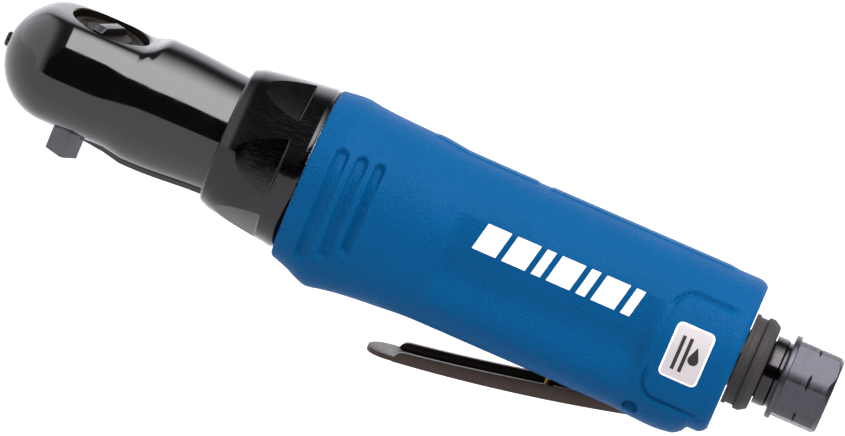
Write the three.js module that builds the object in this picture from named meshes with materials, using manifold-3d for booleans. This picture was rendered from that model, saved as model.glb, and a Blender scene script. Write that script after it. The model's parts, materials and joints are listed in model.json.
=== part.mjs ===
// Air ratchet, 1/4 inch square drive, with a straight body.
// Millimetres, +Z up. The origin is the centre of the square drive's end face,
// +X runs from the head to the air inlet, and the drive points down.
import * as THREE from 'three';
import { mergeVertices } from 'three/addons/utils/BufferGeometryUtils.js';
import Module from 'manifold-3d';

const wasm = await Module();
wasm.setup();

// ---- Driving dimensions -------------------------------------------------
const axisHeight = 21.3;          // tool axis above the drive's end face
const gap = 0.3;                  // running and assembly clearance
const driveSquare = 6.35;         // 1/4 inch square drive
const driveTurn = 55;             // degrees the drive is turned at rest
const headRadius = 15;
const noseCentreX = -7.5;
const headHalfWidth = 16.6;
const headTop = 13.3;             // flat top of the head above the tool axis
const headTaper = 0.006;          // narrowing of the head per millimetre upwards
const openingRadius = 10.05;
const neckEndX = 42.4;
const housingEndX = 46;
const nutFrontX = 36.4;
const nutEndX = 57.9;
const nutFlatDistance = 18.85;
const nutTurn = 6.5;              // degrees the flats stand off square
const coreRadius = 17;
const coreBore = 15;
const gripFrontX = nutEndX + gap;
const gripEndX = 172.8;
const leverPivotX = 153.4;
const leverPivotZ = -18.2;
const leverWidth = 11;
const sheet = 1.2;                // lever sheet thickness
const plungerX = 132.7;
const deflectorEndX = 179.7;
const hexFrontX = 185.6;
const hexChamferX = 195.9;
const inletEndX = 197.2;
const hexAcrossFlats = 19;
const hexTurn = 21.6;             // degrees the hexagon stands off square
const hexCornerRadius = 10.3;     // the corners are turned down to this

// Epicyclic gear set: sun on the rotor, three planets, fixed ring.
const gearModule = 0.6;
const sunTeeth = 12;
const planetTeeth = 15;
const ringTeeth = sunTeeth + 2 * planetTeeth;
const planetCount = 3;
const planetOrbit = gearModule * (sunTeeth + planetTeeth) / 2;
const planetFrontX = 47.6;
const planetLength = 6;

const crankOffset = 1.5;          // half the yoke's stroke
const yokeThickness = 8.8;
const yokeTeeth = 36;
const vaneCount = 5;
const rotorRadius = 10;
const boreOffset = 1.3;           // motor bore above the rotor's axis

const fine = 36;                  // sides of the round outer surfaces
const medium = 24;
const coarse = 16;

const X_AXIS = new THREE.Vector3(1, 0, 0);
const Y_AXIS = new THREE.Vector3(0, 1, 0);
const Z_AXIS = new THREE.Vector3(0, 0, 1);
const radians = THREE.MathUtils.degToRad;

// ---- Materials ----------------------------------------------------------
const finish = (color, roughness, metalness) =>
  new THREE.MeshStandardMaterial({ color, roughness, metalness });
const blackGloss = finish(0x1b1a1c, 0.18, 0.6);
const blackSteel = finish(0x2a282a, 0.35, 0.8);
const darkSteel = finish(0x3a3a3d, 0.35, 0.9);
const brightSteel = finish(0xa8a9ad, 0.3, 1);
const greySteel = finish(0x8b8c90, 0.4, 1);
const blueComposite = finish(0x0172ae, 0.55, 0);
const aluminium = finish(0xb6b8bb, 0.4, 1);
const brass = finish(0xc39a4a, 0.35, 1);
const rubber = finish(0x161616, 0.8, 0);
const phenolic = finish(0x6b4a2a, 0.6, 0);
const felt = finish(0xb9b4a8, 0.95, 0);
const deflectorPlastic = finish(0x37302d, 0.5, 0);
const labelFoil = finish(0xe6dede, 0.35, 0.2);
const white = finish(0xf0f0ee, 0.5, 0);

// ---- Making, joining and cutting shapes ---------------------------------
function solidOf(geometry) {
  const bare = geometry.clone();
  bare.deleteAttribute('normal');
  bare.deleteAttribute('uv');
  const merged = mergeVertices(bare, 1e-4);
  const corners = [];
  const index = merged.index.array;
  for (let i = 0; i < index.length; i += 3) {
    const [a, b, c] = [index[i], index[i + 1], index[i + 2]];
    if (a !== b && b !== c && c !== a) {
      corners.push(a, b, c);
    }
  }
  return new wasm.Manifold(new wasm.Mesh({
    numProp: 3,
    vertProperties: new Float32Array(merged.attributes.position.array),
    triVerts: new Uint32Array(corners),
  }));
}

function geometryOf(solid) {
  const mesh = solid.getMesh();
  const geometry = new THREE.BufferGeometry();
  geometry.setAttribute('position', new THREE.BufferAttribute(mesh.vertProperties, 3));
  geometry.setIndex(new THREE.BufferAttribute(mesh.triVerts, 1));
  geometry.computeVertexNormals();
  return geometry;
}

const joined = (first, ...others) =>
  geometryOf(others.reduce((sum, next) => sum.add(solidOf(next)), solidOf(first)));
const cut = (first, ...tools) =>
  geometryOf(tools.reduce((rest, tool) => rest.subtract(solidOf(tool)), solidOf(first)));
const common = (first, ...others) =>
  geometryOf(others.reduce((rest, next) => rest.intersect(solidOf(next)), solidOf(first)));

// A shape drawn in (Y, Z) and extruded along +X from x0.
function alongX(shape, x0, length, curveSegments = 4) {
  const geometry = new THREE.ExtrudeGeometry(shape, { depth: length, bevelEnabled: false, curveSegments });
  geometry.applyMatrix4(new THREE.Matrix4().makeBasis(Y_AXIS, Z_AXIS, X_AXIS));
  return geometry.translate(x0, 0, 0);
}

// A shape drawn in (X, Z) and extruded across Y, centred on y = 0.
function acrossY(shape, width, curveSegments = 6) {
  const geometry = new THREE.ExtrudeGeometry(shape, { depth: width, bevelEnabled: false, curveSegments });
  geometry.applyMatrix4(new THREE.Matrix4().makeBasis(X_AXIS, Z_AXIS, Y_AXIS.clone().negate()));
  return geometry.translate(0, width / 2, 0);
}

// A shape drawn in (X, Y) and extruded up from z0.
const upZ = (shape, z0, height, curveSegments = 6) =>
  new THREE.ExtrudeGeometry(shape, { depth: height, bevelEnabled: false, curveSegments }).translate(0, 0, z0);

// A body turned about the X axis from [x, radius] points.
function turned(points, sides = medium) {
  const profile = points.map(([x, radius]) => new THREE.Vector2(radius, x));
  return new THREE.LatheGeometry(profile, sides).rotateZ(-Math.PI / 2);
}

// A body turned about the Z axis from [z, radius] points.
const turnedZ = (points, sides = medium) =>
  turned(points, sides).rotateY(-Math.PI / 2);

// Closed profile of a ring between two radii.
const ringProfile = (from, to, inner, outer) =>
  [[from, inner], [from, outer], [to, outer], [to, inner], [from, inner]];

const rodProfile = (from, to, radius) => [[from, 0], [from, radius], [to, radius], [to, 0]];
const rod = (x0, x1, radius, sides = coarse) => turned(rodProfile(x0, x1, radius), sides);
const rodZ = (z0, z1, radius, sides = coarse) => turnedZ(rodProfile(z0, z1, radius), sides);
const rodY = (y0, y1, radius, sides = coarse) => rod(y0, y1, radius, sides).rotateZ(Math.PI / 2);

function block(x0, x1, y0, y1, z0, z1) {
  const box = new THREE.BoxGeometry(x1 - x0, y1 - y0, z1 - z0);
  return box.translate((x0 + x1) / 2, (y0 + y1) / 2, (z0 + z1) / 2);
}

function polygon(points) {
  return new THREE.Shape(points.map(([u, v]) => new THREE.Vector2(u, v)));
}

// Value at x on a line of [x, value] stations.
function along(stations, x) {
  const last = stations.length - 1;
  if (x <= stations[0][0]) {
    return stations[0][1];
  }
  for (let i = 0; i < last; i += 1) {
    const [x0, v0] = stations[i];
    const [x1, v1] = stations[i + 1];
    if (x <= x1) {
      return THREE.MathUtils.lerp(v0, v1, (x - x0) / (x1 - x0));
    }
  }
  return stations[last][1];
}

// A closed body along X whose radius at each station depends on the direction
// round the axis: radiusAt(x, side, up) with (side, up) the unit direction in (Y, Z).
function swept(stations, radiusAt, sides = fine) {
  const ends = [stations[0], stations[stations.length - 1]];
  const profile = [[ends[0], 0], ...stations.map((x) => [x, 1]), [ends[1], 0]];
  const geometry = turned(profile, sides);
  const position = geometry.attributes.position;
  for (let i = 0; i < position.count; i += 1) {
    const [x, y, z] = [position.getX(i), position.getY(i), position.getZ(i)];
    const length = Math.hypot(y, z);
    if (length > 0.5) {
      const radius = radiusAt(x, y / length, z / length);
      position.setXYZ(i, x, radius * y / length, radius * z / length);
    }
  }
  return geometry;
}

// Radius of a superellipse with half width a, half height b and power n.
const superRadius = (side, up, a, b, n) =>
  (Math.abs(side / a) ** n + Math.abs(up / b) ** n) ** (-1 / n);

// ---- The assembly -------------------------------------------------------
const tool = new THREE.Group();
tool.position.z = axisHeight;

function part(name, geometry, material, parent = tool) {
  const mesh = new THREE.Mesh(geometry, material);
  mesh.name = name;
  parent.add(mesh);
  return mesh;
}

// ---- Ratchet housing: round nose, flat top with the round opening, neck ---
const housingRadius = [
  [noseCentreX, headRadius], [8.5, headRadius], [11.5, 15.5], [15, 16.2], [35.9, 15.07], [neckEndX, 15],
];
const housingHalfWidth = [
  [noseCentreX, headHalfWidth], [4, headHalfWidth], [15, 16.3], [35.9, 15.07], [neckEndX, 15],
];
const shoulderFullness = [[-22.5, 0], [-17, 0.45], [-8, 1], [3, 1], [10, 0.45], [16, 0]];
const topLimit = [[9.8, headTop], [11, 14.2], [12.6, 15.4], [15, 17]];

function housingRadiusAt(x, side, up) {
  const nose = Math.sqrt(Math.max(0, 1 - (Math.min(0, x - noseCentreX) / headRadius) ** 2));
  const halfHeight = nose * along(housingRadius, x);
  const halfWidth = nose * along(housingHalfWidth, x);
  const fullness = along(shoulderFullness, x);
  const power = up > 0 ? 2 + 0.8 * fullness : 2;
  const level = superRadius(side, up, halfWidth, halfHeight, power) * up;
  const radius = superRadius(side, up, halfWidth * (1 - headTaper * fullness * level), halfHeight, power);
  return up > 0 ? Math.min(radius, along(topLimit, x) / up) : radius;
}

function ratchetHousing() {
  const stations = [];
  const noseSteps = 8;
  for (let i = 1; i < noseSteps; i += 1) {
    stations.push(noseCentreX - headRadius * Math.cos(i * Math.PI / 2 / noseSteps));
  }
  stations.push(noseCentreX, -4, 0, 4, 8.5, 9.8, 11, 12.6, 15, 22, 29, 35.9, neckEndX + 1);
  const shell = joined(
    swept(stations, housingRadiusAt),
    rod(neckEndX + 0.1, housingEndX, 16.8, fine),
  );
  return cut(
    shell,
    rodZ(5.5, headTop + 5, openingRadius, fine),                 // opening for the anvil and knob
    turnedZ(ringProfile(8.9, 9.9, 9, 11), fine),                 // snap ring groove
    rodZ(-5.1, 5.6, 12.3, fine),                                 // chamber of the yoke's ring
    rodZ(-16, -5, 7.2, medium),                                  // lower anvil bearing
    block(0, 13, -11.4, 11.4, -5.1, 5.1),                        // slot of the yoke's arms
    turned([[12.5, 0], [12.5, 12], [29, 12], [29, 11], [41, 11], [41, 13], [47, 13], [47, 0]], fine),
    rod(-24, -18, 2.2),                                          // seat of the nose plug
  );
}
part('ratchet_housing', ratchetHousing(), blackGloss);
part('nose_plug', turned([[-23, 0], [-23, 1.6], [-22.5, 2], [-18.3, 2], [-18.3, 0]], coarse), blackSteel);

// ---- Anvil with its square drive, pawl pocket and knob bore ---------------
const pawlPinX = 5;
const pawlHalfHeight = 3.9;
const ballRadius = 1.2;
const driveGroup = new THREE.Group();
driveGroup.rotation.z = radians(driveTurn);
tool.add(driveGroup);
const ballDistance = driveSquare / 2 - 0.55;
const ballHeight = -17.6;

function squareDrive() {
  const half = driveSquare / 2;
  const chamfer = 0.6;
  const outline = polygon([
    [half, -half + chamfer], [half, half - chamfer], [half - chamfer, half], [-half + chamfer, half],
    [-half, half - chamfer], [-half, -half + chamfer], [-half + chamfer, -half], [half - chamfer, -half],
  ]);
  const drive = upZ(outline, -axisHeight, 9);
  return cut(drive, rodY(0.4, 5, ballRadius + 0.1, 12).translate(0, 0, ballHeight))
    .rotateZ(radians(driveTurn));
}

function anvil() {
  const body = turnedZ([
    [-13.2, 0], [-13.2, 6.6], [-12.8, 6.9], [-4.8, 6.9], [-4.8, 8.2], [5.4, 8.2], [5.4, 9.6],
    [8, 9.6], [8, 0],
  ]);
  return cut(
    joined(squareDrive(), body),
    rodZ(-4.2, 9, 3),                                            // bore of the knob's stem
    block(1.6, 10, -6.6, 6.6, -4.2, 4.2),                        // pawl pocket
    rodZ(-7.4, 7.2, 1.15, 12).translate(pawlPinX, 0, 0),
  );
}
part('anvil', anvil(), darkSteel);

const ball = new THREE.SphereGeometry(ballRadius, 12, 8);
part('retaining_ball', ball, brightSteel, driveGroup).position.set(0, ballDistance, ballHeight);

class Helix extends THREE.Curve {
  constructor(radius, height, turns) {
    super();
    Object.assign(this, { radius, height, turns });
  }

  getPoint(t, target = new THREE.Vector3()) {
    const angle = 2 * Math.PI * this.turns * t;
    return target.set(this.radius * Math.cos(angle), this.radius * Math.sin(angle), this.height * t);
  }
}

// A coil spring standing on z0, wound from round wire.
function spring(radius, wire, z0, z1, turns) {
  const section = new THREE.Shape().absarc(0, 0, wire, 0, 2 * Math.PI);
  const geometry = new THREE.ExtrudeGeometry(section, {
    steps: turns * 10,
    curveSegments: 3,
    extrudePath: new Helix(radius, z1 - z0 - 2 * wire, turns),
  });
  return geometry.translate(0, 0, z0 + wire);
}

part('ball_spring', spring(0.6, 0.15, 0, 0.6, 1).rotateX(-Math.PI / 2), brightSteel, driveGroup)
  .position.set(0, 0.5, ballHeight);

// ---- Pawl, its pin, and the reversing knob with its detent ----------------
const pawlTilt = -3;
const knobRest = -26;             // direction of the detent in the pawl's frame

function pawl() {
  const reach = 8;
  const spread = radians(42);
  const backX = 3.5;
  const outline = new THREE.Shape();
  outline.moveTo(backX, -reach * Math.sin(spread));
  outline.absarc(0, 0, reach, -spread, spread);
  outline.lineTo(backX, reach * Math.sin(spread));
  outline.lineTo(backX + 0.2, 0);
  outline.closePath();
  const body = upZ(outline, -pawlHalfHeight, 2 * pawlHalfHeight, 8);
  return cut(body.translate(-pawlPinX, 0, 0), rodZ(-5, 5, 1.2, 12));
}
const pawlMesh = part('pawl', pawl(), brightSteel);
pawlMesh.position.x = pawlPinX;
pawlMesh.rotation.z = radians(pawlTilt);
part('pawl_pin', rodZ(-7, 6.9, 1, 12), brightSteel).position.x = pawlPinX;

const knobGroup = new THREE.Group();
knobGroup.rotation.z = radians(knobRest);
tool.add(knobGroup);

function reverseKnob() {
  const disc = turnedZ([
    [-3.6, 0], [-3.6, 2.7], [10.2, 2.7], [10.2, 9.3], [11.4, 9.3], [11.7, 9], [11.7, 0],
  ], fine);
  const half = 5.5;
  const barSide = polygon([
    [-half, 11.4], [half, 11.4], [half, 12.2], [half - 1.3, 13.5], [-half + 1.3, 13.5], [-half, 12.2],
  ]);
  const bar = acrossY(barSide, 2.8).rotateZ(Math.PI / 2);
  return cut(joined(disc, bar), rod(-1.4, 4, 1));
}
part('reverse_knob', reverseKnob(), darkSteel, knobGroup);
part('detent_spring', spring(0.5, 0.18, 0, 2.4, 4).rotateY(Math.PI / 2), brightSteel, knobGroup)
  .position.x = -1.2;
part('detent_ball', new THREE.SphereGeometry(0.8, 10, 6), brightSteel, knobGroup).position.x = 2.3;

part('thrust_washer', turnedZ(ringProfile(8.2, 8.7, 4, 9.6)), brightSteel);

function snapRing() {
  const ring = turnedZ(ringProfile(9, 9.75, 8.4, 10.7), fine);
  return cut(ring, block(-12, -6, -2, 2, 8, 11));
}
part('snap_ring', snapRing(), darkSteel);

// ---- Yoke with its internal ratchet teeth ---------------------------------
const yokeArmEndX = 18.2;
const forkGap = 6.6;

function yoke() {
  const outer = new THREE.Shape().absarc(0, 0, 11.8, 0, 2 * Math.PI);
  const teeth = [];
  for (let i = 0; i < yokeTeeth; i += 1) {
    const angle = 2 * Math.PI * i / yokeTeeth;
    const half = Math.PI / yokeTeeth;
    teeth.push(new THREE.Vector2(9.5 * Math.cos(angle), 9.5 * Math.sin(angle)));
    teeth.push(new THREE.Vector2(8.7 * Math.cos(angle + half), 8.7 * Math.sin(angle + half)));
  }
  outer.holes.push(new THREE.Path(teeth));
  const ring = upZ(outer, -yokeThickness / 2, yokeThickness, 20);
  const arm = (side) => {
    const [inner, outerY] = [forkGap * side, 8.8 * side];
    const [low, high] = [Math.min(inner, outerY), Math.max(inner, outerY)];
    return block(7.4, yokeArmEndX, low, high, -yokeThickness / 2, yokeThickness / 2);
  };
  return joined(ring, arm(1), arm(-1));
}
part('yoke', yoke(), greySteel);

// ---- Crankshaft with the planet carrier behind it --------------------------
const carrierFrontX = 44;
const carrierRadius = 11.6;
const planetEndX = planetFrontX + planetLength;
const carrierEndX = planetEndX + 2.6;
const planetAngles = [...Array(planetCount).keys()].map((i) => Math.PI / 2 + 2 * Math.PI * i / planetCount);

function crankshaft() {
  const pin = rod(12.6, 20, 1.7, 12).translate(0, 0, crankOffset);
  const shaft = turned([[19.6, 0], [19.6, 7.5], [42, 7.5], [42, 9], [carrierFrontX, 9],
    [carrierFrontX, carrierRadius], [planetFrontX - 0.5, carrierRadius], [planetFrontX - 0.5, 0]], medium);
  const rearWall = turned(ringProfile(planetEndX + 0.5, carrierEndX, 4.9, carrierRadius), medium);
  const posts = planetAngles.map((angle) => {
    const section = polygon([[-1.7, 7.2], [1.7, 7.2], [2.6, 11], [-2.6, 11]]);
    const post = alongX(section, planetFrontX - 0.8, planetLength + 1.6);
    return post.rotateX(angle - Math.PI / 2 + Math.PI / planetCount);
  });
  const pinHoles = planetAngles.map((angle) =>
    rod(carrierFrontX + 0.4, carrierEndX + 1, 1.75, 12)
      .translate(0, planetOrbit * Math.cos(angle), planetOrbit * Math.sin(angle)));
  return cut(joined(shaft, pin, rearWall, ...posts), ...pinHoles);
}
part('crankshaft', crankshaft(), greySteel);
part('drive_bushing', turned(ringProfile(13, 18.2, 2, 3), coarse), brightSteel).position.z = crankOffset;
part('crank_bearing', turned(ringProfile(29.4, 40.6, 7.8, 10.7), medium), brightSteel);

// ---- Involute gears ---------------------------------------------------------
const pressureAngle = radians(20);
const involute = (angle) => Math.tan(angle) - angle;
const backlash = 0.8;             // tooth thickness as a share of the full one

// Points round a gear: each tooth has its flanks at the given radii, from root to tip.
function gearOutline(teeth, radii, internal) {
  const pitchRadius = gearModule * teeth / 2;
  const baseRadius = pitchRadius * Math.cos(pressureAngle);
  const sense = internal ? -1 : 1;
  const halfAngle = (radius) => {
    const at = radius > baseRadius ? Math.acos(baseRadius / radius) : 0;
    return backlash * Math.PI / 2 / teeth + sense * (involute(pressureAngle) - involute(at));
  };
  const points = [];
  for (let i = 0; i < teeth; i += 1) {
    const centre = 2 * Math.PI * (i + (internal ? 0.5 : 0)) / teeth;
    for (const radius of radii) {
      points.push([radius, centre - halfAngle(radius)]);
    }
    for (const radius of [...radii].reverse()) {
      points.push([radius, centre + halfAngle(radius)]);
    }
  }
  return points.map(([radius, angle]) =>
    new THREE.Vector2(radius * Math.cos(angle), radius * Math.sin(angle)));
}

function gearRadii(teeth, internal) {
  const pitchRadius = gearModule * teeth / 2;
  const sense = internal ? -1 : 1;
  return [pitchRadius - sense * 1.2 * gearModule, pitchRadius, pitchRadius + sense * 0.85 * gearModule];
}

function planetGear() {
  const shape = new THREE.Shape(gearOutline(planetTeeth, gearRadii(planetTeeth, false), false));
  shape.holes.push(new THREE.Path().absarc(0, 0, 1.8, 0, 2 * Math.PI));
  return alongX(shape, planetFrontX, planetLength, 6);
}
planetAngles.forEach((angle, i) => {
  const [y, z] = [planetOrbit * Math.cos(angle), planetOrbit * Math.sin(angle)];
  const gear = part(`planet_gear_${i + 1}`, planetGear(), greySteel);
  gear.position.set(0, y, z);
  gear.rotation.x = angle;
  part(`planet_pin_${i + 1}`, rod(carrierFrontX + 0.7, carrierEndX - 0.1, 1.5, 12), brightSteel)
    .position.set(0, y, z);
});

function ringGear() {
  const shape = new THREE.Shape().absarc(0, 0, 14.7, 0, 2 * Math.PI);
  shape.holes.push(new THREE.Path(gearOutline(ringTeeth, gearRadii(ringTeeth, true), true)));
  return alongX(shape, housingEndX + gap, 12.8, 20).rotateX(Math.PI / 2);
}
part('ring_gear', ringGear(), greySteel);

// ---- Clamp nut with six milled flats ----------------------------------------
function clampNut() {
  const body = turned([
    [nutFrontX, 15.5], [nutFrontX, 17.2], [37, 17.7], [39.3, 18.5], [56.9, 21.1], [nutEndX, 20.8],
    [nutEndX, 17.3], [42.2, 17.3], [42.2, 15.5], [nutFrontX, 15.5],
  ], fine);
  const flats = [...Array(6).keys()].map((i) =>
    block(nutFrontX - 1, 53.5, -12, 12, nutFlatDistance, nutFlatDistance + 5)
      .rotateX(i * Math.PI / 3 + Math.PI / 6 - radians(nutTurn)));
  return cut(body, ...flats);
}
part('clamp_nut', clampNut(), blackSteel);

// ---- Motor: end plates, bearings, cylinder, rotor and vanes ------------------
const rotorFrontX = 65;
const rotorEndX = 104.4;
const plateRadius = 14.7;

part('front_end_plate', cut(
  turned(ringProfile(59.5, 64.4, 4.8, plateRadius)),
  rod(59, 63.4, 8.5, medium),
), blackSteel);
part('front_bearing', turned([
  [59.6, 4.5], [59.6, 5.7], [59.9, 5.9], [59.9, 7], [59.6, 7.2], [59.6, 8.2], [63.1, 8.2], [63.1, 4.5],
  [59.6, 4.5],
]), brightSteel);

function motorCylinder() {
  const body = rod(64.7, 104.7, plateRadius, fine);
  return cut(
    body,
    rod(64, 106, 11.6, fine).translate(0, 0, boreOffset),
    rodY(8, 16, 2.2, 12).translate(84, 0, -5),                   // exhaust ports
    rodY(-16, -8, 2.2, 12).translate(84, 0, -5),
    rod(97, 106, 1.2, 12).translate(0, 0, -12.6),                // dowel hole
  );
}
part('motor_cylinder', motorCylinder(), greySteel);

function rotor() {
  const shaft = turned([
    [54.2, 0], [54.2, 4.2], [64.6, 4.2], [64.6, 5.5], [rotorFrontX, 5.5], [rotorFrontX, rotorRadius],
    [rotorEndX, rotorRadius], [rotorEndX, 2.9], [110.6, 2.9], [110.6, 0],
  ], fine);
  const sun = new THREE.Shape(gearOutline(sunTeeth, gearRadii(sunTeeth, false), false));
  const slots = [...Array(vaneCount).keys()].map((i) =>
    block(rotorFrontX - 1, rotorEndX + 1, -0.85, 0.85, 4.4, 12).rotateX(2 * Math.PI * i / vaneCount));
  return joined(cut(shaft, ...slots), alongX(sun, planetFrontX - 0.2, 7));
}
part('rotor', rotor(), greySteel);
for (let i = 0; i < vaneCount; i += 1) {
  part(`vane_${i + 1}`, block(rotorFrontX + 0.3, rotorEndX - 0.3, -0.6, 0.6, 4.8, 9.8), phenolic)
    .rotation.x = 2 * Math.PI * i / vaneCount;
}

part('rear_end_plate', cut(
  turned(ringProfile(105, 110.4, 3.2, plateRadius)),
  rod(106, 111, 6.5, medium),
  rod(104, 111, 1.6, 12).translate(0, 0, -9.2),                  // air feed
  rod(104, 111, 1.2, 12).translate(0, 0, -12.6),
), blackSteel);
part('rear_bearing', turned([
  [106.3, 3.1], [106.3, 6.3], [110.2, 6.3], [110.2, 5.4], [109.9, 5.2], [109.9, 4.2], [110.2, 4],
  [110.2, 3.1], [106.3, 3.1],
]), brightSteel);
part('cylinder_dowel', rod(98, 114, 1, 12), brightSteel).position.z = -12.6;

// ---- Motor housing: the metal core under the grip ----------------------------
const valveBore = 4.5;
const socketFrontX = 157;

function motorHousing() {
  const body = turned([
    [housingEndX + gap, 0], [housingEndX + gap, 16.9], [nutEndX - 0.1, 16.9], [nutEndX - 0.1, coreRadius],
    [gripEndX - gap, coreRadius], [gripEndX - gap, 0],
  ], fine);
  return cut(
    body,
    rod(45, 111, coreBore, fine),                                // motor bore
    rod(110, 113, 5),                                            // end of the rotor shaft
    rod(110, 115, 1.2, 12).translate(0, 0, -12.6),
    rod(110, 131, 1.6, 12).translate(0, 0, -9.2),                // air feed to the motor
    rodZ(-18, 6.6, valveBore).translate(plungerX, 0, 0),         // valve chamber
    rod(plungerX, socketFrontX + 1, 3.6).translate(0, 0, 1),     // inlet passage
    rod(socketFrontX, gripEndX, 7.8, medium),                    // socket of the inlet bushing
    block(144, 158, -6.3, 6.3, -18, -14.4),                      // room for the lever's ears
    block(80, gripEndX, 15.6, 18, -5, 5),                        // exhaust channels
    block(80, gripEndX, -18, -15.6, -5, 5),
    rodY(-18, -12, 2.4, 12).translate(84, 0, -3),
    rodY(12, 18, 2.4, 12).translate(84, 0, -3),
  );
}
part('motor_housing', motorHousing(), aluminium);

// ---- Grip: moulded sleeve with finger stop, side grooves and lever slot --------
const gripTop = [
  [gripFrontX, 21.2], [64.8, 21.95], [68.7, 21.3], [74.6, 21], [86, 20.7], [94, 19.8], [170.7, 19.8],
  [gripEndX, 18.6],
];
const gripBottom = [
  [gripFrontX, 21.6], [62.8, 23.1], [66.8, 24.9], [68.7, 25.5], [72.6, 24.8], [76.6, 24.1],
  [84.4, 23.3], [98, 22.4], [150, 22.6], [155, 23.1], [163, 23.1], [166.7, 21.6], [168.7, 19.2],
  [170.7, 19.2], [gripEndX, 18],
];
const keelPower = 3;

function gripRadiusAt(x, side, up) {
  const top = along(gripTop, x);
  return up >= 0 ? top : superRadius(side, up, top, along(gripBottom, x), keelPower);
}

// A band of the grip's own section, used to cut grooves and to lay the label.
function gripBand(x0, x1, inner, outer) {
  const level = (offset) => swept([x0, x1], (x, side, up) => gripRadiusAt(x, side, up) + offset);
  return cut(level(outer), level(inner).scale(1.2, 1, 1).translate(-0.2 * (x0 + x1) / 2, 0, 0));
}

function grip() {
  const stations = [
    gripFrontX, 62.8, 64.8, 66.8, 68.7, 72.6, 76.6, 84.4, 94, 124, 150, 155, 163, 166.7, 168.7, 170.7, gripEndX,
  ];
  const sleeve = cut(
    swept(stations, gripRadiusAt, 44),
    rod(gripFrontX - 1, gripEndX + 1, coreRadius + gap, fine),
    block(124, 157.5, -6.2, 6.2, -28, -12),                      // lever slot
    rodY(-22, 22, 1.7, 12).translate(leverPivotX, 0, leverPivotZ),
  );
  const grooves = [[65.3, -16], [70.3, -13.5], [75, -10.5]].flatMap(([x, low]) => {
    const band = gripBand(x - 1.5, x + 1.5, -1.2, 6);
    return [common(band, block(50, 90, 8, 40, low, 13.2)), common(band, block(50, 90, -40, -8, low, 13.2))];
  });
  return cut(sleeve, ...grooves);
}
part('grip', grip(), blueComposite);
part('oil_label', common(
  gripBand(156.2, 166.2, 0.3, 0.6),
  block(150, 170, -25, -12, -6.2, 7.8),
), labelFoil);

// ---- Throttle lever and its pin -------------------------------------------------
const leverFrontX = 95.4;
// Underside of the lever, a shallow curve rising towards the pivot.
const leverUnderside = (x) => -35.05 + 0.1286 * (x - 94) + 0.00118 * (x - 94) ** 2;
const wallTop = [[97.2, -31.9], [128.4, -25.5], [146, -21.6]];

function throttleLever() {
  const floorX = [leverFrontX, 105, 115, 125, 135, 145, leverPivotX + 1.5];
  const underside = floorX.map((x) => [x, leverUnderside(x)]);
  const outline = polygon([
    ...underside,
    [leverPivotX + 3, -21.5], [leverPivotX + 3, leverPivotZ], [leverPivotX + 1.7, leverPivotZ + 2.4],
    [leverPivotX, leverPivotZ + 2.9], [leverPivotX - 2, leverPivotZ + 2.2],
    ...[...wallTop].reverse(), [96, -32.6],
  ]);
  const inside = polygon([
    [leverFrontX - 2, leverUnderside(leverFrontX - 2) + sheet],
    ...floorX.map((x) => [x, leverUnderside(x) + sheet]),
    [leverPivotX + 5, leverUnderside(leverPivotX) + sheet + 0.6], [leverPivotX + 5, -10],
    [leverFrontX - 2, -10],
  ]);
  const tabHalf = leverWidth / 2;
  const tab = new THREE.Shape();
  tab.moveTo(9.5, -tabHalf);
  tab.lineTo(9.5, tabHalf);
  tab.lineTo(5.5, tabHalf);
  tab.quadraticCurveTo(0, tabHalf, 0, 0);
  tab.quadraticCurveTo(0, -tabHalf, 5.5, -tabHalf);
  const tabPlate = upZ(tab, 0, sheet).rotateY(-Math.atan(0.13)).translate(88.3, 0, leverUnderside(88.3));
  return cut(
    joined(cut(acrossY(outline, leverWidth), acrossY(inside, leverWidth - 2 * sheet)), tabPlate),
    rodY(-8, 8, 1.75, 12).translate(leverPivotX, 0, leverPivotZ),
  );
}
part('throttle_lever', throttleLever(), blackSteel);
part('lever_pin', rodY(-12.6, 12.6, 1.45, 12), brightSteel).position.set(leverPivotX, 0, leverPivotZ);

// ---- Throttle valve ------------------------------------------------------------
const valveGroup = new THREE.Group();
valveGroup.position.x = plungerX;
tool.add(valveGroup);
part('valve_stem', turnedZ([
  [-26.8, 0], [-26.6, 0.7], [-26.2, 1.1], [-7.8, 1.1], [-7.8, 1.9], [-7, 1.9], [-7, 1.1], [-4.3, 1.1],
  [-4.3, 0],
], coarse), brass, valveGroup);
part('valve_bushing', turnedZ(ringProfile(-17.4, -11.2, 1.35, 4.2), coarse), brass, valveGroup);
part('stem_seal', turnedZ(ringProfile(-10.9, -10.1, 1.4, 3), coarse), rubber, valveGroup);
part('valve_seat', turnedZ(ringProfile(-6, -4.3, 2.3, 4.2), coarse), brightSteel, valveGroup);
part('throttle_valve', turnedZ([
  [-4, 0], [-4, 3.5], [-2.4, 3.5], [-2.4, 1.6], [-0.8, 1.6], [-0.8, 0],
], coarse), white, valveGroup);
part('valve_spring', spring(2.6, 0.3, -2.1, 6.4, 5), brightSteel, valveGroup);

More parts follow.
